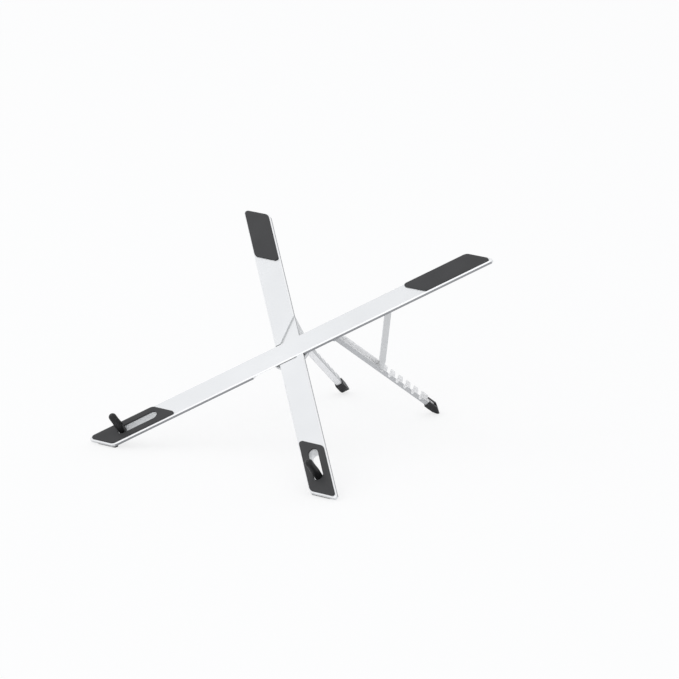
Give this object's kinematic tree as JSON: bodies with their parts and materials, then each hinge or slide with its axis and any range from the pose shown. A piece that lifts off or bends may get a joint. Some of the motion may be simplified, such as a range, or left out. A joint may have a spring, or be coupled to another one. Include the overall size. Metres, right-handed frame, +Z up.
{
  "type": "laptop stand",
  "caption": "Folding X-shaped aluminium laptop stand with padded arms, front stop hooks and notched rear legs on rubber caps.",
  "frame": {"origin": "on the desk, under the middle of the set-up stand's bounding box", "axes": "+X to the right, +Y to the back (the high end), +Z up"},
  "size_m": [0.228, 0.1864, 0.1261],
  "materials": {
    "aluminium": "fine bead-blasted silver anodise with bright cut edges",
    "steel": "plain plated steel",
    "pad_rubber": "matte dark grey silicone",
    "hook_rubber": "satin black rubber",
    "foot_rubber": "matte black rubber",
    "nylon": "natural nylon"
  },
  "bodies": {
    "arm_a": {"arm_a": "aluminium", "front_pad_a": "pad_rubber", "back_pad_a": "pad_rubber", "front_foot_a": "foot_rubber", "leg_bracket_a": "steel", "bracket_rivet_front_a": "steel", "bracket_rivet_back_a": "steel", "leg_pin_a": "steel", "strut_pin_a": "steel", "hook_pin_a": "steel", "pivot_pin": "steel"},
    "arm_b": {"arm_b": "aluminium", "front_pad_b": "pad_rubber", "back_pad_b": "pad_rubber", "front_foot_b": "foot_rubber", "leg_bracket_b": "steel", "bracket_rivet_front_b": "steel", "bracket_rivet_back_b": "steel", "leg_pin_b": "steel", "strut_pin_b": "steel", "hook_pin_b": "steel", "hub_disc": "aluminium", "hub_washer": "nylon"},
    "hook_a": {"hook_core_a": "steel", "hook_sleeve_a": "hook_rubber"},
    "leg_a": {"leg_a": "aluminium", "foot_cap_a": "foot_rubber"},
    "strut_a": {"strut_a": "aluminium"},
    "hook_b": {"hook_core_b": "steel", "hook_sleeve_b": "hook_rubber"},
    "leg_b": {"leg_b": "aluminium", "foot_cap_b": "foot_rubber"},
    "strut_b": {"strut_b": "aluminium"}
  },
  "joints": [
    {"name": "crossing_fold", "type": "hinge", "parent": "arm_a", "child": "arm_b", "pos_m": [0, -0.00865, 0.06433], "axis": [0, 0.5928, -0.8054], "range_deg": [0, 56]},
    {"name": "leg_fold_a", "type": "hinge", "parent": "arm_a", "child": "leg_a", "pos_m": [0.02206, 0.01297, 0.07217], "axis": [0.7071, -0.5695, -0.4192], "range_deg": [0, 73.7]},
    {"name": "strut_fold_a", "type": "hinge", "parent": "arm_a", "child": "strut_a", "pos_m": [0.05416, 0.03711, 0.09354], "axis": [0.7071, -0.5695, -0.4192], "range_deg": [0, 121.32]},
    {"name": "hook_fold_a", "type": "hinge", "parent": "arm_a", "child": "hook_a", "pos_m": [-0.09086, -0.07969, 0.00756], "axis": [-0.7071, 0.5695, 0.4192], "range_deg": [0, 90]},
    {"name": "leg_fold_b", "type": "hinge", "parent": "arm_b", "child": "leg_b", "pos_m": [-0.02206, 0.01297, 0.07217], "axis": [0.7071, 0.5695, 0.4192], "range_deg": [0, 73.7]},
    {"name": "strut_fold_b", "type": "hinge", "parent": "arm_b", "child": "strut_b", "pos_m": [-0.05416, 0.03711, 0.09354], "axis": [0.7071, 0.5695, 0.4192], "range_deg": [0, 121.32]},
    {"name": "hook_fold_b", "type": "hinge", "parent": "arm_b", "child": "hook_b", "pos_m": [0.09086, -0.07969, 0.00756], "axis": [-0.7071, -0.5695, -0.4192], "range_deg": [0, 90]}
  ],
  "couplings": [
    {"joint": "strut_fold_a", "follows": "leg_fold_a", "ratio": 1.6462},
    {"joint": "strut_fold_b", "follows": "leg_fold_b", "ratio": 1.6462}
  ]
}
